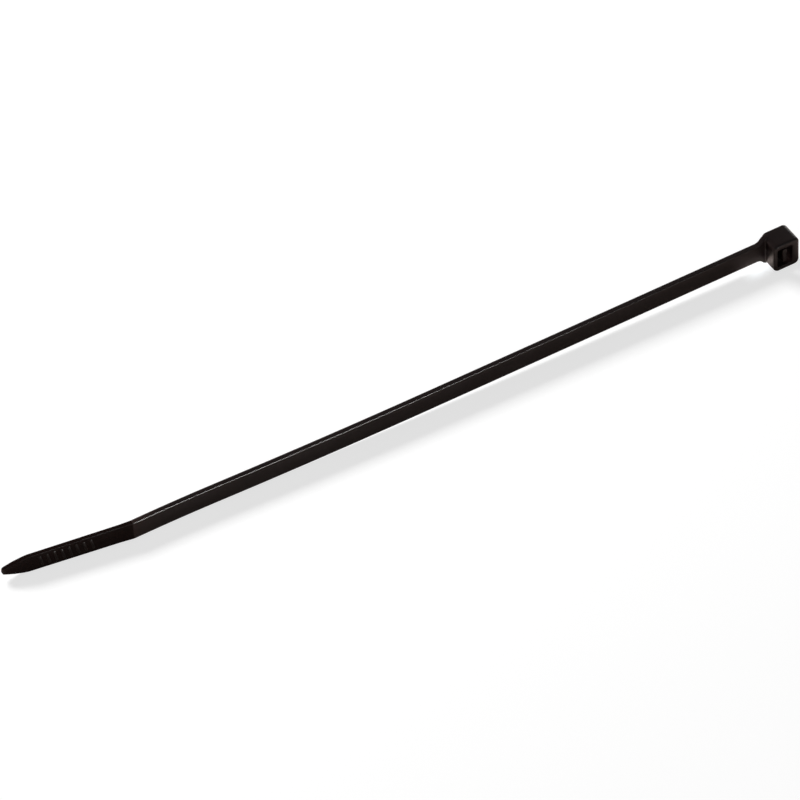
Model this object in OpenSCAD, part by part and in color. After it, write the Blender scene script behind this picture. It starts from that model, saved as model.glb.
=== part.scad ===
// A small one-piece nylon cable tie, lying on its side edge the way it comes to rest.
// +X points to the head, +Z is up across the strap's width, -Y is the smooth side.
// The toothed side is +Y. The loose tail is threaded into the head from there and comes out at -Y.

/* [Strap] */
// Whole length, from the blunt tip to the far end of the head
total_l = 200; // [160:1:240]
// Width of the strap
strap_w = 4.8; // [4.6:0.1:5.0]
// Thickness of the strap over its rails
strap_t = 1.3; // [1.2:0.05:1.4]
// Radius along the strap's four long edges
strap_round = 0.22; // [0.1:0.02:0.3]

/* [Teeth] */
// Spacing of the ratchet teeth
tooth_pitch = 1.2; // [1.0:0.1:1.6]
// Depth of each tooth below the rails
tooth_depth = 0.45; // [0.3:0.05:0.55]
// Plain rail left on each side of the teeth
rail_w = 0.7; // [0.5:0.05:0.9]
// Plain strap between the head and the first tooth
tooth_start = 7; // [5:0.5:20]
// Plain strap between the last tooth and the tail's kink
tooth_stop = 4; // [2:0.5:20]

/* [Tail] */
// Length of the tail, from the kink to the tip
tail_l = 30.5; // [26:0.5:36]
// Thickness of the tail between its ribs
tail_t = 1.05; // [0.9:0.05:1.15]
// Angle that the tail turns towards the toothed side at the kink
tail_bend = 9; // [5:0.5:12]
// Number of grip ribs on each face of the tail
rib_count = 8; // [5:1:9]
// Spacing of the grip ribs
rib_pitch = 1.7; // [1.4:0.1:1.8]
// Length of a grip rib across the tail
rib_l = 3.2; // [2.4:0.1:3.4]
// Height of a grip rib
rib_h = 0.18; // [0.1:0.02:0.25]
// Lean of the grip ribs from straight across
rib_lean = 12; // [0:1:20]

/* [Head] */
// Length of the head along the strap
head_l = 6.7; // [6.5:0.1:7.2]
// Width of the head, across the strap
head_w = 7.8; // [7.4:0.1:8.4]
// Thickness of the head, from the entry face to the exit face
head_t = 5.8; // [5.4:0.1:6.2]
// Height of the entry face above the strap's toothed face
entry_rise = 0.65; // [0.3:0.05:0.8]
// Corner radius of the head seen on its exit face
head_round = 1.25; // [0.8:0.05:1.4]
// Radius along the rims of the head's two faces
rim_round = 0.6; // [0.3:0.05:0.7]
// Wall between the strap and the slot, which carries the pawl
near_wall = 0.85; // [0.8:0.05:1]
// Radius of the two curves by which each edge of the strap widens into the head
shoulder_r = 1.75; // [1.4:0.05:2.2]

/* [Slot and pawl] */
// Length of the slot along the strap
slot_l = 3.95; // [3.9:0.05:4.2]
// Clearance between the slot's side and the strap's edge
slot_clear = 0.2; // [0.15:0.05:0.3]
// Empty width left between the pawl's teeth and the slot's far wall
channel = 1; // [0.9:0.05:1.1]
// Width of the pawl across the strap
pawl_w = 3.6; // [3.4:0.1:4.4]
// Height of the pawl's teeth
pawl_tooth = 0.36; // [0.25:0.02:0.4]
// Number of teeth on the pawl
pawl_teeth = 2; // [1:1:2]
// How deep the pawl's end lies inside the exit face
pawl_recess = 0.3; // [0.2:0.05:0.8]

/* [Hidden] */
$fn = 24;

// Distances along the centreline are counted from the head's near face towards the tip.
kink_r = 0.3;
kink_at = total_l - head_l - tail_l;
tip_at = kink_at + tail_l;
sway = 1.9;
counter_sway = 0.55;
// Direction of the centreline, in degrees from the head's own axis, at a few distances from the head.
turns = [
    [0, 0],
    [kink_at - 75, -0.13],
    [kink_at - 22, -sway],
    [kink_at - kink_r, counter_sway],
    [kink_at + kink_r, counter_sway - tail_bend],
    [tip_at, counter_sway - tail_bend]
];
path_step = 0.25;
path_n = ceil(tip_at / path_step);
path_x = [for (i = 0, x = 0; i <= path_n; i = i + 1, x = x - path_step * cos(lookup((i - 0.5) * path_step, turns)))
    [i * path_step, x]];
path_y = [for (i = 0, y = 0; i <= path_n; i = i + 1, y = y - path_step * sin(lookup((i - 0.5) * path_step, turns)))
    [i * path_step, y]];

// Thickness and width of the strap at a distance from the head.
thick_at = [
    [0, strap_t],
    [kink_at - kink_r, strap_t],
    [kink_at + 3, tail_t],
    [tip_at - 3, tail_t],
    [tip_at, tail_t - 0.25]
];
width_at = [
    [0, strap_w],
    [kink_at, strap_w],
    [tip_at - 6.2, strap_w - 0.2],
    [tip_at - 5, strap_w - 0.55],
    [tip_at - 2.6, strap_w - 1.7],
    [tip_at - 0.9, strap_w - 2.7],
    [tip_at - 0.3, strap_w - 3.15],
    [tip_at, strap_w - 3.7]
];

// Head in its own frame: x from the near face, y from the strap's middle, z from the strap's middle.
entry_y = strap_t / 2 + entry_rise;
exit_y = entry_y - head_t;
slot_w = strap_w + 2 * slot_clear;
slot_end = near_wall + slot_l;
crest_x = slot_end - channel;

// The tie lies on the head's side and on the low edge of the tail, so it is pitched a little.
low_at = tip_at - 6.2;
rest_tilt = atan((head_w - lookup(low_at, width_at)) / 2 / low_at);
tip_x = lookup(tip_at, path_x);
tip_y = lookup(tip_at, path_y) + (tail_t - 0.25) / 2 * cos(tail_bend);
mid_x = (tip_x * cos(rest_tilt) + head_l * cos(rest_tilt) + head_w / 2 * sin(rest_tilt)) / 2;
mid_y = (tip_y + exit_y) / 2;

// Point at a distance a from the head, moved by off towards the toothed side.
function at(a, off) =
    let (h = lookup(a, turns), x = a < 0 ? -a : lookup(a, path_x), y = a < 0 ? 0 : lookup(a, path_y))
    [x - off * sin(h), y + off * cos(h)];

// Outline of a rounded rectangle from (x0, y0) to (x1, y1), with n steps in each corner.
function rounded(x0, y0, x1, y1, r, n) =
    let (c = [[x1 - r, y1 - r], [x0 + r, y1 - r], [x0 + r, y0 + r], [x1 - r, y0 + r]])
    [for (k = [0:3], i = [0:n]) c[k] + r * [cos(90 * k + 90 * i / n), sin(90 * k + 90 * i / n)]];

// One cross-section of the strap: a rounded rectangle set square to the centreline.
function ring(a) =
    let (t = lookup(a, thick_at), w = lookup(a, width_at), r = min(strap_round, t / 2 - 0.05))
    [for (p = rounded(-t / 2, -w / 2, t / 2, w / 2, r, 3)) let (q = at(a, p[0])) [q[0], q[1], p[1]]];

// Closed solid through a list of rings that have the same number of points.
module skin(rings) {
    m = len(rings[0]);
    last = len(rings) - 1;
    points = [for (r = rings, p = r) p];
    sides = [for (i = [0:last - 1], j = [0:m - 1])
        let (a = i * m + j, b = i * m + (j + 1) % m)
        each [[a, b, b + m], [a, b + m, a + m]]];
    caps = [[for (j = [m - 1:-1:0]) j], [for (j = [0:m - 1]) last * m + j]];
    polyhedron(points = points, faces = concat(sides, caps), convexity = 4);
}

// The strap and its tail, without teeth or ribs.
module blank() {
    stations = concat(
        [-0.5, 3],
        [for (a = [11:8:kink_at - 9]) a],
        [for (d = [-5, -kink_r, -0.1, 0.1, kink_r, 3, 12, tail_l - 6.2]) kink_at + d],
        [for (d = [5, 3.8, 2.6, 1.7, 0.9, 0.3, 0]) tip_at - d]
    );
    skin([for (a = stations) ring(a)]);
}

// Everything cut away between the ratchet teeth, between the two rails.
// Each tooth rises gently towards the head and drops steeply on the side that faces it.
module tooth_cuts() {
    over = strap_t / 2 + 0.05;
    deep = strap_t / 2 - tooth_depth;
    first = tooth_start;
    n = floor((kink_at - tooth_stop - first) / tooth_pitch);
    saw = [for (i = [0:n - 1]) let (a = first + i * tooth_pitch)
        each [at(a, over), at(a + 0.8 * tooth_pitch, deep), at(a + 0.86 * tooth_pitch, over)]];
    back = [for (i = [n:-1:0]) at(first + i * tooth_pitch - 0.02, over + 0.6)];
    track_w = strap_w - 2 * rail_w;
    translate([0, 0, -track_w / 2])
        linear_extrude(track_w)
            polygon(concat(saw, back));
}

// Grip ribs on both faces of the tail, as round bars that are sunk into it.
module ribs() {
    bar_r = 0.42;
    first = kink_at + 9.5;
    for (i = [0:rib_count - 1], side = [-1, 1]) {
        a = first + i * rib_pitch;
        p = at(a, side * (tail_t / 2 + rib_h - bar_r));
        translate([p[0], p[1], 0])
            rotate([0, 0, lookup(a, turns)])
                rotate([0, -rib_lean, 0])
                    cylinder(h = rib_l, r = bar_r, center = true);
    }
}

// The strap widens into the head on both edges, by a hollow curve and a full one of the same radius.
module shoulders() {
    half0 = strap_w / 2;
    half1 = head_w / 2;
    sweep = acos(1 - (half1 - half0) / 2 / shoulder_r);
    ends_at = head_round - 0.55;
    starts_at = ends_at - 2 * shoulder_r * sin(sweep);
    n = 6;
    hollow = [for (i = [0:n]) let (t = sweep * i / n)
        [starts_at + shoulder_r * sin(t), half0 + shoulder_r * (1 - cos(t))]];
    full = [for (i = [n - 1:-1:0]) let (t = sweep * i / n)
        [ends_at - shoulder_r * sin(t), half1 - shoulder_r * (1 - cos(t))]];
    outline = concat(
        [[starts_at, 0]],
        hollow,
        full,
        [[ends_at, 0]]
    );
    for (side = [0, 1])
        mirror([0, 0, side])
            translate([0, strap_t / 2 - 0.01, 0])
                rotate([90, 0, 0])
                    linear_extrude(strap_t - 0.02)
                        polygon(outline);
}

// Outer block of the head, rounded in all three directions.
module head_block() {
    intersection() {
        translate([0, entry_y, 0])
            rotate([90, 0, 0])
                linear_extrude(head_t)
                    polygon(rounded(0, -head_w / 2, head_l, head_w / 2, head_round, 5));
        translate([0, 0, -head_w / 2 - 1])
            linear_extrude(head_w + 2)
                polygon(rounded(0, exit_y, head_l, entry_y, rim_round, 3));
        translate([-1, 0, 0])
            rotate([90, 0, 90])
                linear_extrude(head_l + 2)
                    polygon(rounded(exit_y, -head_w / 2, entry_y, head_w / 2, rim_round, 3));
    }
}

// The slot through the head, with a lead-in on the entry side.
module slot_cut() {
    translate([0, entry_y + 1, 0])
        rotate([90, 0, 0])
            linear_extrude(head_t + 2)
                polygon(rounded(near_wall, -slot_w / 2, slot_end, slot_w / 2, 0.35, 4));
    lead = 0.45;
    translate([0, 0, -slot_w / 2])
        linear_extrude(slot_w)
            polygon([[slot_end - 0.5, entry_y - 0.8], [slot_end, entry_y - 0.8],
                [slot_end + lead, entry_y + 0.1], [slot_end - 0.5, entry_y + 0.1]]);
}

// The pawl leans from the near wall at the entry side towards the exit, and its teeth face the far wall.
module pawl() {
    end_y = exit_y + pawl_recess;
    base_y = end_y + 0.12 + pawl_teeth * tooth_pitch;
    root_x = crest_x - pawl_tooth - 0.95;
    body_tip_x = crest_x - pawl_tooth;
    back_x = body_tip_x - 1;
    body = [
        [near_wall - 0.3, entry_y - 0.3],
        [near_wall + 0.7, entry_y - 0.3],
        [root_x, base_y],
        [body_tip_x, end_y + 0.12],
        [body_tip_x - 0.05, end_y],
        [back_x, end_y],
        [back_x - 0.15, base_y - 1.2],
        [near_wall + 0.4, base_y + 0.15],
        [near_wall - 0.3, base_y + 0.3]
    ];
    slope = (body_tip_x - root_x) / (pawl_teeth * tooth_pitch);
    saw = [for (i = [0:pawl_teeth - 1])
        let (y0 = base_y - i * tooth_pitch, x0 = root_x + slope * i * tooth_pitch)
        each [
            [x0, y0],
            [x0 + slope * 0.85 * tooth_pitch + pawl_tooth, y0 - 0.85 * tooth_pitch],
            [x0 + slope * 0.92 * tooth_pitch, y0 - 0.95 * tooth_pitch]
        ]];
    teeth = concat([[root_x - 0.3, base_y]], saw, [[body_tip_x - 0.3, end_y + 0.12]]);
    tooth_w = strap_w - 2 * rail_w - 0.3;
    translate([0, 0, -pawl_w / 2])
        linear_extrude(pawl_w)
            polygon(body);
    translate([0, 0, -tooth_w / 2])
        linear_extrude(tooth_w)
            polygon(teeth);
}

// The tie is one moulding, so everything is one solid.
module cable_tie() {
    color([0.1, 0.1, 0.1])
        translate([-mid_x, -mid_y, head_w / 2 * cos(rest_tilt)])
            rotate([0, -rest_tilt, 0]) {
                difference() {
                    union() {
                        difference() {
                            blank();
                            tooth_cuts();
                        }
                        ribs();
                        shoulders();
                        head_block();
                    }
                    slot_cut();
                }
                pawl();
            }
}

cable_tie();
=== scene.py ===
"""A black nylon cable tie lying on its side edge, on a plain pale floor under soft studio light."""
import bisect
import math

import bmesh
import bpy
from mathutils import Matrix, Vector


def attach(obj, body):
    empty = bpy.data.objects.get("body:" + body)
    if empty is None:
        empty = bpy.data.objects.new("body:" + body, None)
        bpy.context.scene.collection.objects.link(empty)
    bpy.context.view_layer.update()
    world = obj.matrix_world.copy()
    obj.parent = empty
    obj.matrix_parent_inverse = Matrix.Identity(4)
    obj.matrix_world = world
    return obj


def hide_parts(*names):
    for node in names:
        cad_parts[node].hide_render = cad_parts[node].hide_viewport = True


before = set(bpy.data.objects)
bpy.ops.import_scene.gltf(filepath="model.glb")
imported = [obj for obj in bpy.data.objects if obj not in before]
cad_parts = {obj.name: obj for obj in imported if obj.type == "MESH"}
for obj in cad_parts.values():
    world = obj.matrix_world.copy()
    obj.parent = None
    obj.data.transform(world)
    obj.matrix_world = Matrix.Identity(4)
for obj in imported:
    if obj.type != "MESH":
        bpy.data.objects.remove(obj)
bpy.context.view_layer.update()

MM = 0.001
# Two places closer than this, in mm, count as the same.
SAME = 0.01

# Sizes in mm and angles in degrees, the same as the part's own.
TOTAL_L = 200.0
STRAP_W = 4.8
STRAP_T = 1.3
STRAP_ROUND = 0.22
TOOTH_PITCH = 1.2
TOOTH_DEPTH = 0.45
RAIL_W = 0.7
TOOTH_START = 7.0
TOOTH_STOP = 4.0
TAIL_L = 30.5
TAIL_T = 1.05
TAIL_BEND = 9.0
RIB_COUNT = 8
RIB_PITCH = 1.7
RIB_L = 3.2
RIB_H = 0.18
RIB_LEAN = 12.0
HEAD_L = 6.7
HEAD_W = 7.8
HEAD_T = 5.8
ENTRY_RISE = 0.65
HEAD_ROUND = 1.25
RIM_ROUND = 0.6
NEAR_WALL = 0.85
SHOULDER_R = 1.75
SLOT_L = 3.95
SLOT_CLEAR = 0.2
CHANNEL = 1.0
PAWL_W = 3.6
PAWL_TOOTH = 0.36
PAWL_TEETH = 2
PAWL_RECESS = 0.3
KINK_R = 0.3
SWAY = 1.9
COUNTER_SWAY = 0.55

# Worked out from those. Distances along the centreline are counted from the head's near face towards the tip.
KINK_AT = TOTAL_L - HEAD_L - TAIL_L
TIP_AT = KINK_AT + TAIL_L
ENTRY_Y = STRAP_T / 2 + ENTRY_RISE
EXIT_Y = ENTRY_Y - HEAD_T
SLOT_W = STRAP_W + 2 * SLOT_CLEAR
SLOT_END = NEAR_WALL + SLOT_L
CREST_X = SLOT_END - CHANNEL
TRACK_HALF = STRAP_W / 2 - RAIL_W
TIP_T = TAIL_T - 0.25
TAPER_AT = TIP_AT - 6.2
FIRST_RIB_AT = KINK_AT + 9.5

# Rows of (distance, value): the strap's direction in degrees, its thickness and its width in mm.
TURNS = [
    (0, 0),
    (KINK_AT - 75, -0.13),
    (KINK_AT - 22, -SWAY),
    (KINK_AT - KINK_R, COUNTER_SWAY),
    (KINK_AT + KINK_R, COUNTER_SWAY - TAIL_BEND),
    (TIP_AT, COUNTER_SWAY - TAIL_BEND),
]
THICKNESS = [
    (0, STRAP_T),
    (KINK_AT - KINK_R, STRAP_T),
    (KINK_AT + 3, TAIL_T),
    (TIP_AT - 3, TAIL_T),
    (TIP_AT, TIP_T),
]
WIDTH = [
    (0, STRAP_W),
    (KINK_AT, STRAP_W),
    (TAPER_AT, STRAP_W - 0.2),
    (TIP_AT - 5, STRAP_W - 0.55),
    (TIP_AT - 2.6, STRAP_W - 1.7),
    (TIP_AT - 0.9, STRAP_W - 2.7),
    (TIP_AT - 0.3, STRAP_W - 3.15),
    (TIP_AT, STRAP_W - 3.7),
]


def between(table, a):
    """Value at a in a table of (distance, value), straight between its rows."""
    i = bisect.bisect_right([row[0] for row in table], a)
    if i == 0:
        return table[0][1]
    if i == len(table):
        return table[-1][1]
    (a0, v0), (a1, v1) = table[i - 1], table[i]
    return v0 + (v1 - v0) * (a - a0) / (a1 - a0)


# The centreline, walked once in small steps from the head's near face.
PATH_STEP = 0.25
path = [Vector((0.0, 0.0))]
while len(path) * PATH_STEP <= TIP_AT + PATH_STEP:
    turn = math.radians(between(TURNS, (len(path) - 0.5) * PATH_STEP))
    path.append(path[-1] - PATH_STEP * Vector((math.cos(turn), math.sin(turn))))


def along(a, off):
    """Point on the strap at a distance a from the head, moved by off towards the toothed side."""
    if a <= 0:
        middle = Vector((-a, 0.0))
    else:
        i = min(int(a / PATH_STEP), len(path) - 2)
        middle = path[i].lerp(path[i + 1], a / PATH_STEP - i)
    turn = math.radians(between(TURNS, a))
    return middle + off * Vector((-math.sin(turn), math.cos(turn)))


# The tie lies on the head's side and on the low edge of the tail, where its taper starts, so it is pitched a
# little.
REST_TILT = math.atan((HEAD_W - between(WIDTH, TAPER_AT)) / 2 / TAPER_AT)
tip = along(TIP_AT, 0)
MID_X = ((tip.x + HEAD_L) * math.cos(REST_TILT) + HEAD_W / 2 * math.sin(REST_TILT)) / 2
MID_Y = (tip.y + TIP_T / 2 * math.cos(math.radians(TAIL_BEND)) + EXIT_Y) / 2
KINK_X = along(KINK_AT, 0).x * math.cos(REST_TILT) - MID_X
LAY_DOWN = (
    Matrix.Scale(MM, 4)
    @ Matrix.Translation((-MID_X, -MID_Y, HEAD_W / 2 * math.cos(REST_TILT)))
    @ Matrix.Rotation(-REST_TILT, 4, "Y")
)


def corner(x, y, radius, start, steps):
    """Quarter circle round (x, y) that begins at the angle start, in degrees."""
    angles = [math.radians(start + 90 * i / steps) for i in range(steps + 1)]
    return [(x + radius * math.cos(t), y + radius * math.sin(t)) for t in angles]


def rounded_outline(x0, y0, x1, y1, radius, steps):
    """Rounded rectangle as points, the same number in each corner."""
    centres = [
        (x1 - radius, y1 - radius),
        (x0 + radius, y1 - radius),
        (x0 + radius, y0 + radius),
        (x1 - radius, y0 + radius),
    ]
    return [p for k, (x, y) in enumerate(centres) for p in corner(x, y, radius, 90 * k, steps)]


def unique(items):
    """The items once each, in the order in which they come."""
    return list(dict.fromkeys(items))


def only_verts(geometry):
    """The vertices in what an operator gives back."""
    return [g for g in geometry if isinstance(g, bmesh.types.BMVert)]


# ---- the strap ----

# Roundings that only the scene has, in mm, the least flat beside one, and the fineness of the mesh.
ROOT_FILLET = 0.2
TIP_ROUND = 0.4
RIB_R = 0.42
LEAST_FLAT = 0.05
EDGE_STEPS = 5
FACE_STEPS = 16
# Vertices of a seam that are closer than this, in mm, are merged.
SEAM_GAP = 0.0005
# The shoulder's S-curve runs on into the head's rounded corner.
SHOULDER_SWEEP = math.acos(1 - (HEAD_W - STRAP_W) / 4 / SHOULDER_R)
SHOULDER_END = HEAD_ROUND - 0.55
SHOULDER_START = SHOULDER_END - 2 * SHOULDER_R * math.sin(SHOULDER_SWEEP)


def shoulder(a):
    """How much each edge of the strap stands out towards the head, by a hollow curve and a full one."""
    x = min(-a, SHOULDER_END)
    if x <= SHOULDER_START:
        return 0.0
    if x < (SHOULDER_START + SHOULDER_END) / 2:
        return SHOULDER_R - math.sqrt(SHOULDER_R**2 - (x - SHOULDER_START) ** 2)
    return (HEAD_W - STRAP_W) / 2 - SHOULDER_R + math.sqrt(SHOULDER_R**2 - (SHOULDER_END - x) ** 2)


def tooth_profile():
    """Rows of (distance, depth) for the tooth cuts: each deepens gently and comes up steeply to a land."""
    form = [(0.78, TOOTH_DEPTH - 0.02), (0.82, TOOTH_DEPTH), (0.86, 0.05), (0.9, 0.0)]
    rows = []
    count = math.floor((KINK_AT - TOOTH_STOP - TOOTH_START) / TOOTH_PITCH)
    for i in range(count):
        a = TOOTH_START + i * TOOTH_PITCH
        rows += [(a, 0.0), (a + 0.07, 0.02)]
        rows += [(a + share * TOOTH_PITCH, depth) for share, depth in form]
    return rows


TEETH = tooth_profile()


def root_fillet(a, across):
    """How much the smooth side swells up to the head, which falls away towards its rounded corners."""
    past = max(abs(across) - HEAD_W / 2 + HEAD_ROUND, 0.0)
    gap = a + HEAD_ROUND - math.sqrt(max(HEAD_ROUND**2 - past**2, 0.0))
    up = min(max(ROOT_FILLET - gap, 0.0), ROOT_FILLET)
    return ROOT_FILLET - math.sqrt(ROOT_FILLET**2 - up**2)


def strap_section(a):
    """Points round the strap at a distance a from the head, as (towards the teeth, across)."""
    back = between(THICKNESS, a) / 2
    half = between(WIDTH, a) / 2 + shoulder(a)
    radius = min(STRAP_ROUND, back - LEAST_FLAT, half - LEAST_FLAT)
    cut = between(TEETH, a) if TEETH[0][0] <= a <= TEETH[-1][0] else 0.0
    track = min(TRACK_HALF, half - radius - LEAST_FLAT)
    inner = half - radius
    # Closer together towards the edges, where the fillet follows the head's rounded corners.
    flat = [(-back, inner * math.cos(math.pi * i / FACE_STEPS)) for i in range(1, FACE_STEPS)]
    smooth_side = (
        corner(-back + radius, inner, radius, 90, EDGE_STEPS)
        + flat
        + corner(-back + radius, -inner, radius, 180, EDGE_STEPS)
    )
    return (
        [(back - cut, track), (back, track)]
        + corner(back - radius, inner, radius, 0, EDGE_STEPS)
        + [(off - root_fillet(a, across), across) for off, across in smooth_side]
        + corner(back - radius, -inner, radius, 270, EDGE_STEPS)
        + [(back, -track), (back - cut, -track), (back - cut, track)]
    )


def strap_stations():
    """Where the strap has a cross-section: close together where its form changes."""
    at_head = [0.02, 0.06, ROOT_FILLET - 0.04]
    at_head += [0.05 * i - HEAD_ROUND for i in range(28)]
    at_head += [0.1 * i - HEAD_ROUND for i in range(14, 36)] + [2.6, 4.0]
    at_teeth = [row[0] for row in TEETH]
    past_kink = (-3.6, -2, -0.8, -KINK_R, -0.2, -0.1, 0, 0.1, 0.2, KINK_R, 0.8, 1.5, 3, 6, 12, 18)
    before_tip = (6.6, 6.2, 5.8, 5.2, 4.8, 4.2, 3.4, 2.8, 2.4, 1.7, 1.2, 0.9)
    round_tip = [TIP_ROUND * (1 - math.sin(math.radians(t))) for t in (0, 15, 30, 45, 58, 70, 80, 87)]
    at_kink = [KINK_AT + d for d in past_kink]
    at_tip = [TIP_AT - d for d in (*before_tip, *round_tip)]
    return sorted(at_head + at_teeth + at_kink + at_tip)


def add_strap(bm):
    """The strap and its tail: a grid wrapped round into a tube, with a section at each station."""
    stations = strap_stations()
    sections = [strap_section(a) for a in stations]
    rows, turns = len(stations), len(sections[0])
    grid = bmesh.ops.create_grid(bm, x_segments=rows - 1, y_segments=turns - 1, size=1)
    for v in grid["verts"]:
        i = round((v.co.x + 1) / 2 * (rows - 1))
        j = round((v.co.y + 1) / 2 * (turns - 1))
        off, across = sections[i][j]
        past = max(stations[i] - TIP_AT + TIP_ROUND, 0.0) / TIP_ROUND
        shrink = math.sqrt(1 - past**2)
        v.co = (*along(stations[i], off * shrink), across * shrink)
    bmesh.ops.remove_doubles(bm, verts=grid["verts"], dist=SEAM_GAP)
    left = [v for v in grid["verts"] if v.is_valid]
    ends = unique(e for v in left for e in v.link_edges if e.is_boundary)
    bmesh.ops.holes_fill(bm, edges=ends, sides=0)


def add_ribs(bm):
    """Grip ribs on both faces of the tail: round bars with round ends, sunk into it."""
    for i in range(RIB_COUNT):
        for side in (-1, 1):
            a = FIRST_RIB_AT + i * RIB_PITCH
            bar = bmesh.ops.create_uvsphere(bm, u_segments=20, v_segments=12, radius=RIB_R)["verts"]
            for v in bar:
                if abs(v.co.z) > SAME:
                    v.co.z += math.copysign(RIB_L / 2 - RIB_R, v.co.z)
            place = along(a, side * (TAIL_T / 2 + RIB_H - RIB_R))
            turn = Matrix.Rotation(math.radians(between(TURNS, a)), 4, "Z")
            lean = Matrix.Rotation(math.radians(-RIB_LEAN), 4, "Y")
            bmesh.ops.transform(bm, matrix=Matrix.Translation((*place, 0)) @ turn @ lean, verts=bar)


# ---- the head ----

SLOT_CORNER = 0.35
SLOT_RIM_ROUND = 0.13
LEAD_IN = 0.42
LEAD_IN_DEPTH = 0.8
# How much of the slot's rounded corners, in mm along the head, goes with its far wall.
FAR_WALL_BAND = 0.05
CORNER_STEPS = 6
# Rims are rounded where two faces meet at more than this angle, in radians.
RIM_ANGLE = 0.8


def add_outline(bm, points, y):
    """Closed loop of edges through points given as (x, z), at the depth y."""
    ring = bmesh.ops.create_circle(bm, segments=len(points), radius=1)["verts"]
    for v, (x, z) in zip(ring, points):
        v.co = (x, y, z)
    return unique(e for v in ring for e in v.link_edges)


def in_slot(place):
    """Whether a place is on the slot's walls, its lead-in with them."""
    return NEAR_WALL - SAME < place.x < SLOT_END + LEAD_IN + SAME and abs(place.z) < SLOT_W / 2 + SAME


def head_rims(bm, of_slot):
    """Edges of the head's two end faces, round the slot or round the outside."""
    found = []
    for e in bm.edges:
        a, b = (v.co for v in e.verts)
        on_end = any(abs(a.y - y) < SAME and abs(b.y - y) < SAME for y in (ENTRY_Y, EXIT_Y))
        at_slot = in_slot(a) and in_slot(b)
        if on_end and at_slot == of_slot and len(e.link_faces) == 2 and e.calc_face_angle(0) > RIM_ANGLE:
            found.append(e)
    return found


def round_rims(bm, edges, radius, steps):
    """Rounds the edges over."""
    bmesh.ops.bevel(bm, geom=edges, offset=radius, segments=steps, profile=0.5, affect="EDGES", material=-1)


def add_head(bm):
    """The head, first in its mesh: a frame round the slot, as deep as the head, with its rims rounded."""
    outside = rounded_outline(0, -HEAD_W / 2, HEAD_L, HEAD_W / 2, HEAD_ROUND, CORNER_STEPS)
    slot = rounded_outline(NEAR_WALL, -SLOT_W / 2, SLOT_END, SLOT_W / 2, SLOT_CORNER, CORNER_STEPS)
    loops = add_outline(bm, outside, ENTRY_Y) + add_outline(bm, slot, ENTRY_Y)
    near = unique(v for e in loops for v in e.verts)
    face = bmesh.ops.bridge_loops(bm, edges=loops)["faces"]
    pulled = bmesh.ops.extrude_face_region(bm, geom=face, use_keep_orig=True)["geom"]
    bmesh.ops.translate(bm, verts=only_verts(pulled), vec=(0, -HEAD_T, 0))
    # The lead-in: the slot's far wall opens out towards the entry side.
    geometry = [*bm.verts, *bm.edges, *bm.faces]
    lead_in_end = (0, ENTRY_Y - LEAD_IN_DEPTH, 0)
    bmesh.ops.bisect_plane(bm, geom=geometry, plane_co=lead_in_end, plane_no=(0, 1, 0), dist=1e-5)
    for v in near:
        if abs(v.co.x - SLOT_END) < FAR_WALL_BAND and in_slot(v.co):
            v.co.x += LEAD_IN
    bmesh.ops.recalc_face_normals(bm, faces=bm.faces)
    round_rims(bm, head_rims(bm, of_slot=False), RIM_ROUND, 6)
    round_rims(bm, head_rims(bm, of_slot=True), SLOT_RIM_ROUND, 3)


# The pawl's form, in mm: its thickness, how far its root stands back, its end past the last tooth, how deep
# its pieces are sunk into each other and the head, and the room beside its teeth in the strap's track.
PAWL_T = 1.0
PAWL_LEAN = 0.95
PAWL_LIP = 0.12
SUNK = 0.3
TRACK_ROOM = 0.3
# Corners of the bevelled pawl that are closer than this, in mm, are merged.
BEVEL_GAP = 0.001


def add_profile(bm, points, width, radius):
    """Bar across the slot with the side profile points, given as (x, y), and softly rounded edges."""
    ring = [bm.verts.new((x, y, -width / 2)) for x, y in points]
    face = bm.faces.new(ring)
    pulled = bmesh.ops.extrude_face_region(bm, geom=[face], use_keep_orig=True)["geom"]
    far = only_verts(pulled)
    bmesh.ops.translate(bm, verts=far, vec=(0, 0, width))
    faces = unique(f for v in ring + far for f in v.link_faces)
    bmesh.ops.recalc_face_normals(bm, faces=faces)
    rounded = bmesh.ops.bevel(
        bm,
        geom=unique(e for f in faces for e in f.edges),
        offset=radius,
        segments=3,
        profile=0.5,
        affect="EDGES",
        material=-1,
        clamp_overlap=True,
    )
    bmesh.ops.remove_doubles(bm, verts=rounded["verts"], dist=BEVEL_GAP)


def add_pawl(bm):
    """The pawl leans from the near wall at the entry side towards the exit; its teeth face the far wall."""
    end_y = EXIT_Y + PAWL_RECESS
    base_y = end_y + PAWL_LIP + PAWL_TEETH * TOOTH_PITCH
    tip_x = CREST_X - PAWL_TOOTH
    root_x = tip_x - PAWL_LEAN
    back_x = tip_x - PAWL_T
    body = [
        (NEAR_WALL - SUNK, ENTRY_Y - 0.3),
        (NEAR_WALL + 0.7, ENTRY_Y - 0.3),
        (root_x, base_y),
        (tip_x, end_y + PAWL_LIP),
        (tip_x - 0.05, end_y),
        (back_x, end_y),
        (back_x - 0.15, base_y - 1.2),
        (NEAR_WALL + 0.4, base_y + 0.15),
        (NEAR_WALL - SUNK, base_y + 0.3),
    ]
    add_profile(bm, body, PAWL_W, 0.08)
    slope = (tip_x - root_x) / (PAWL_TEETH * TOOTH_PITCH)
    teeth = [(root_x - SUNK, base_y)]
    for i in range(PAWL_TEETH):
        x, y = root_x + slope * i * TOOTH_PITCH, base_y - i * TOOTH_PITCH
        teeth += [
            (x, y),
            (x + slope * 0.85 * TOOTH_PITCH + PAWL_TOOTH, y - 0.85 * TOOTH_PITCH),
            (x + slope * 0.92 * TOOTH_PITCH, y - 0.95 * TOOTH_PITCH),
        ]
    teeth.append((tip_x - SUNK, end_y + PAWL_LIP))
    add_profile(bm, teeth, STRAP_W - 2 * RAIL_W - TRACK_ROOM, 0.03)


# ---- the moulding ----

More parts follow.
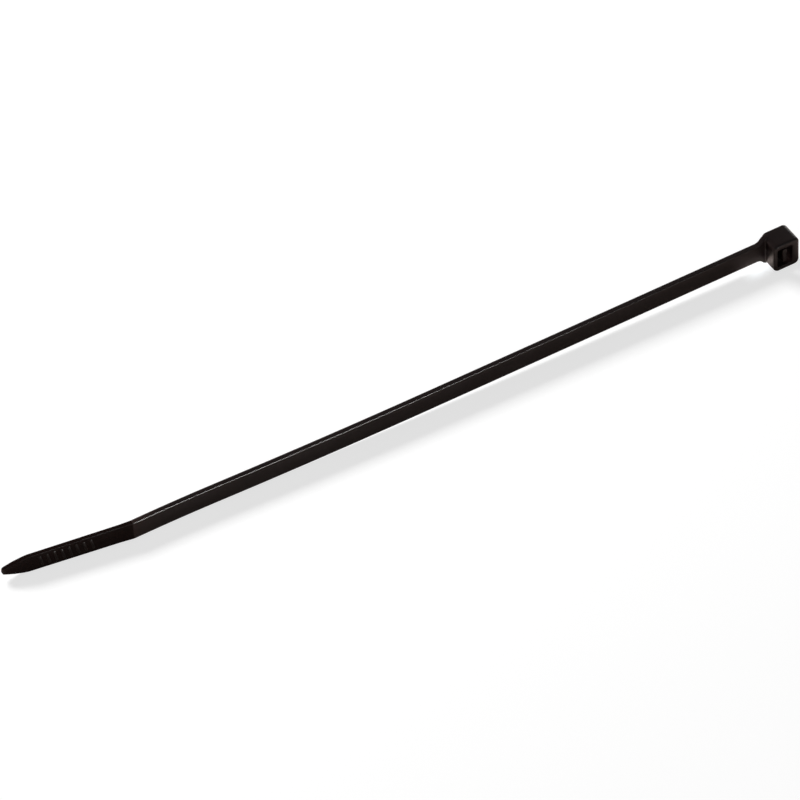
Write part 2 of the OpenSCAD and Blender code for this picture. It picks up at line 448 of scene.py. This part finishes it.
# Edges where two faces meet at more than this angle are shaded sharp.
SHARP_ANGLE = math.radians(32)
# The order of the materials on the tie.
BODY_FINISH, TAIL_SHADED_FINISH, RIB_FINISH = range(3)


def build_tie():
    """The whole moulding as one mesh, laid down as it rests."""
    bm = bmesh.new()
    add_head(bm)
    add_strap(bm)
    kink = along(KINK_AT, 0).x
    # Past the kink the tail takes its own finish, whose darker colour is painted shade.
    for f in bm.faces:
        f.material_index = TAIL_SHADED_FINISH if f.calc_center_median().x < kink else BODY_FINISH
    strap_faces = set(bm.faces)
    add_ribs(bm)
    for f in set(bm.faces) - strap_faces:
        f.material_index = RIB_FINISH
    add_pawl(bm)
    bmesh.ops.recalc_face_normals(bm, faces=bm.faces)
    bmesh.ops.transform(bm, matrix=LAY_DOWN, verts=bm.verts)
    for f in bm.faces:
        f.smooth = True
    for e in bm.edges:
        e.smooth = len(e.link_faces) == 2 and e.calc_face_angle(0) < SHARP_ANGLE
    mesh = bpy.data.meshes.new("cable_tie_moulding")
    bm.to_mesh(mesh)
    bm.free()
    tie = bpy.data.objects.new("cable_tie_moulding", mesh)
    bpy.context.scene.collection.objects.link(tie)
    return tie


# ---- materials ----

WHITE = (1.0, 1.0, 1.0, 1.0)
# What the camera sees of the paper: a grey that keeps the shadow, and a lift that brings the rest to white.
PAPER_GREY = (0.4, 0.4, 0.4, 1.0)
PAPER_LIFT = 0.68
NYLON_IOR = 1.53
# How much the roughness varies either way along the melt streaks.
STREAK_CONTRAST = 0.05


def linear(hex_colour):
    """Linear colour of an sRGB hex value."""
    parts = [int(hex_colour[i:i + 2], 16) / 255 for i in (1, 3, 5)]
    return (*(c / 12.92 if c <= 0.04045 else ((c + 0.055) / 1.055) ** 2.4 for c in parts), 1.0)


def add_node(tree, kind, settings=None, **links):
    """Adds a node with its settings; a link or a value is given by the input's name."""
    n = tree.nodes.new(kind)
    for name, value in (settings or {}).items():
        setattr(n, name, value)
    for name, value in links.items():
        key = int(name[1:]) if name[0] == "_" and name[1:].isdigit() else name.replace("_", " ")
        socket = n.inputs[key]
        if isinstance(value, bpy.types.NodeSocket):
            tree.links.new(value, socket)
        else:
            socket.default_value = value
    return n


def new_material(name):
    """Empty material and its node tree."""
    material = bpy.data.materials.new(name)
    material.use_nodes = True
    material.node_tree.nodes.clear()
    return material, material.node_tree


def moulded_nylon(name, dark, light, painted_kink_tone, roughness, specular):
    """Nylon 6/6 with carbon black, injection moulded.

    It gives the eye a deep, slightly warm black: soft broad reflections, faint streaks where the
    melt ran along the strap, and a fine grain that breaks up the gloss.
    """
    material, tree = new_material(name)
    place = add_node(tree, "ShaderNodeTexCoord").outputs["Object"]
    # Melt streaks, about 1.5 mm across and ten times as long along the strap.
    along_strap = add_node(tree, "ShaderNodeMapping", Vector=place, Scale=(0.1, 1.0, 1.0))
    streaks = add_node(
        tree, "ShaderNodeTexNoise", Vector=along_strap.outputs[0], Scale=650.0, Detail=3.0, Roughness=0.55
    )
    # Grain of the eroded tool, about 0.08 mm in the steel, drawn at 0.16 mm so that it shows.
    grain = add_node(tree, "ShaderNodeTexNoise", Vector=place, Scale=6200.0, Detail=2.0, Roughness=0.6)
    # Broad unevenness of the skin, from how the part cooled, about 4 mm across.
    cooling = add_node(tree, "ShaderNodeTexNoise", Vector=place, Scale=240.0, Detail=2.0)
    melt = add_node(
        tree, "ShaderNodeMixRGB", Fac=streaks.outputs[0], Color1=linear(dark), Color2=linear(light)
    )
    # The strap is paler over the first 8 mm from the kink and fades away from it: this paler tone is a
    # painted reflection. Past the kink, on the tail and its ribs, the same tone is their whole colour, and on
    # the tail it is painted shade.
    x = add_node(tree, "ShaderNodeSeparateXYZ", Vector=place).outputs["X"]
    painted_kink_mask = add_node(
        tree,
        "ShaderNodeMapRange",
        Value=x,
        From_Min=KINK_X * MM,
        From_Max=(KINK_X + 8) * MM,
        To_Min=1.0,
        To_Max=0.0,
    )
    colour = add_node(
        tree, "ShaderNodeMixRGB", Fac=painted_kink_mask.outputs[0], Color1=melt.outputs[0], Color2=linear(painted_kink_tone)
    )
    rough = add_node(
        tree,
        "ShaderNodeMapRange",
        Value=streaks.outputs[0],
        From_Min=0.3,
        From_Max=0.7,
        To_Min=roughness - STREAK_CONTRAST,
        To_Max=roughness + STREAK_CONTRAST,
    )
    skin = add_node(tree, "ShaderNodeBump", Height=cooling.outputs[0], Strength=0.25, Distance=0.00006)
    texture = add_node(
        tree,
        "ShaderNodeBump",
        Height=grain.outputs[0],
        Strength=0.35,
        Distance=0.00001,
        Normal=skin.outputs[0],
    )
    surface = add_node(
        tree,
        "ShaderNodeBsdfPrincipled",
        Base_Color=colour.outputs[0],
        Roughness=rough.outputs[0],
        Normal=texture.outputs[0],
    )
    surface.inputs["IOR"].default_value = NYLON_IOR
    surface.inputs["Specular IOR Level"].default_value = specular
    add_node(tree, "ShaderNodeOutputMaterial", Surface=surface.outputs[0])
    return material


def pale_paper():
    """Smooth matte studio paper. The camera sees it lifted to white, and the tie's shadow stays on it."""
    material, tree = new_material("studio paper")
    paper = add_node(tree, "ShaderNodeBsdfDiffuse", Color=linear("#e2cdc4"))
    seen = add_node(tree, "ShaderNodeBsdfDiffuse", Color=PAPER_GREY)
    lift = add_node(tree, "ShaderNodeEmission", Color=WHITE, Strength=PAPER_LIFT)
    white = add_node(tree, "ShaderNodeAddShader", _0=seen.outputs[0], _1=lift.outputs[0])
    camera = add_node(tree, "ShaderNodeLightPath").outputs["Is Camera Ray"]
    mixed = add_node(tree, "ShaderNodeMixShader", _0=camera, _1=paper.outputs[0], _2=white.outputs[0])
    add_node(tree, "ShaderNodeOutputMaterial", Surface=mixed.outputs[0])
    return material


# ---- the tie ----

# Name, the two tones of the melt streaks, the tone at and past the kink (a painted reflection on the strap
# beside the kink, and the whole colour of the tail and its ribs), roughness and specular level.
FINISHES = [
    ("satin moulded nylon, carbon black", "#140d0d", "#1c1312", "#291d1a", 0.32, 0.47),
    # The tail is finer in the tool than the strap. Its darker colour is painted shade, and with its low
    # specular level it looks blacker.
    ("polished moulded nylon, carbon black, painted shade", "#110706", "#190a08", "#150907", 0.26, 0.2),
    # The ribs on it come from a rougher cut in the tool and catch a little more light; their colour is kept
    # lighter than the tail's painted shade.
    ("rib moulded nylon, carbon black", "#140b0a", "#1b0f0d", "#17100e", 0.34, 0.28),
]

tie = build_tie()
for finish in FINISHES:
    tie.data.materials.append(moulded_nylon(*finish))
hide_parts("cable_tie")
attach(tie, "root")

# ---- floor, light and camera ----

scene = bpy.context.scene

floor_bm = bmesh.new()
bmesh.ops.create_grid(floor_bm, x_segments=1, y_segments=1, size=3.0)
floor_mesh = bpy.data.meshes.new("floor")
floor_bm.to_mesh(floor_mesh)
floor_bm.free()
floor_mesh.materials.append(pale_paper())
floor = bpy.data.objects.new("floor", floor_mesh)
scene.collection.objects.link(floor)

world = bpy.data.worlds.new("studio")
scene.world = world
world.use_nodes = True
sky = world.node_tree
sky.nodes.clear()
room = add_node(sky, "ShaderNodeBackground", Color=WHITE, Strength=0.1)
backdrop = add_node(sky, "ShaderNodeBackground", Color=WHITE, Strength=1.0)
to_camera = add_node(sky, "ShaderNodeLightPath").outputs["Is Camera Ray"]
either = add_node(sky, "ShaderNodeMixShader", _0=to_camera, _1=room.outputs[0], _2=backdrop.outputs[0])
add_node(sky, "ShaderNodeOutputWorld", Surface=either.outputs[0])


def softbox(name, place, aim, width, height, power):
    """Rectangular lamp at place that points at aim."""
    lamp = bpy.data.lights.new(name, "AREA")
    lamp.shape = "RECTANGLE"
    lamp.size = width
    lamp.size_y = height
    lamp.energy = power
    o = bpy.data.objects.new(name, lamp)
    o.location = place
    o.rotation_euler = (Vector(place) - Vector(aim)).to_track_quat("Z", "Y").to_euler()
    o.visible_camera = False
    scene.collection.objects.link(o)
    return o


# The key light comes from behind, so that the tie's own shadow lies under its smooth side and keeps it dark.
key = softbox("key softbox", (-0.15, 0.80, 0.62), (0, 0, 0), 0.5, 0.3, 13.0)
key.visible_glossy = False
fill = softbox("front fill", (-0.5, -0.7, 0.55), (0, 0, 0), 0.7, 0.5, 1.5)
fill.visible_glossy = False
# The strap's rounded edge mirrors this one as a fine bright line, which fades towards the head.
strip = softbox("edge strip", (0.10, -0.44, 0.15), (-0.07, 0, 0.014), 0.145, 0.1, 0.105)
strip.visible_diffuse = False
strip.data.spread = math.radians(30)
# This one brings out the head's far rim.
rim = softbox("rim softbox", (0.67, 0.50, 0.16), (0.1, 0, 0), 0.3, 0.14, 0.5)
rim.visible_diffuse = False

# A snooted lamp puts a small pool of light on the paper beside the head, and the head's near face mirrors it.
POOL = Vector((0.0920, -0.0016, 0.0))
TO_SNOOT = Vector((-0.808, -0.303, 0.505))
SNOOT_DISTANCE = 0.19
snoot = bpy.data.lights.new("snoot", "SPOT")
snoot.spot_size = math.radians(1.0)
snoot.spot_blend = 0.5
snoot.shadow_soft_size = 0.002
snoot.energy = 6.0
snoot.color = (0.88, 0.96, 1.0)
lamp = bpy.data.objects.new("snoot", snoot)
lamp.location = POOL + SNOOT_DISTANCE * TO_SNOOT
lamp.rotation_euler = (lamp.location - POOL).to_track_quat("Z", "Y").to_euler()
scene.collection.objects.link(lamp)

# The camera's place in degrees and metres, from a fit of the part's edges to the photograph.
AZIMUTH, ELEVATION, ROLL = -29.505, 44.923, -2.190
DISTANCE = 1.6913
FOCAL_PX = 7649.8
SHIFT_PX = (7.71, 17.15)
IMAGE_PX = 800

az, el = math.radians(AZIMUTH), math.radians(ELEVATION)
back = Vector((math.sin(az) * math.cos(el), -math.cos(az) * math.cos(el), math.sin(el)))
right = Vector((math.cos(az), math.sin(az), 0.0))
up = back.cross(right)
roll = math.radians(ROLL)
right, up = math.cos(roll) * right + math.sin(roll) * up, math.cos(roll) * up - math.sin(roll) * right
lens = bpy.data.cameras.new("camera")
lens.sensor_width = 36.0
lens.lens = FOCAL_PX / IMAGE_PX * lens.sensor_width
lens.shift_x = -SHIFT_PX[0] / IMAGE_PX
lens.shift_y = SHIFT_PX[1] / IMAGE_PX
lens.clip_end = 20.0
camera = bpy.data.objects.new("camera", lens)
camera.matrix_world = Matrix.Translation(back * DISTANCE) @ Matrix((right, up, back)).transposed().to_4x4()
scene.collection.objects.link(camera)
scene.camera = camera

scene.view_settings.view_transform = "Standard"
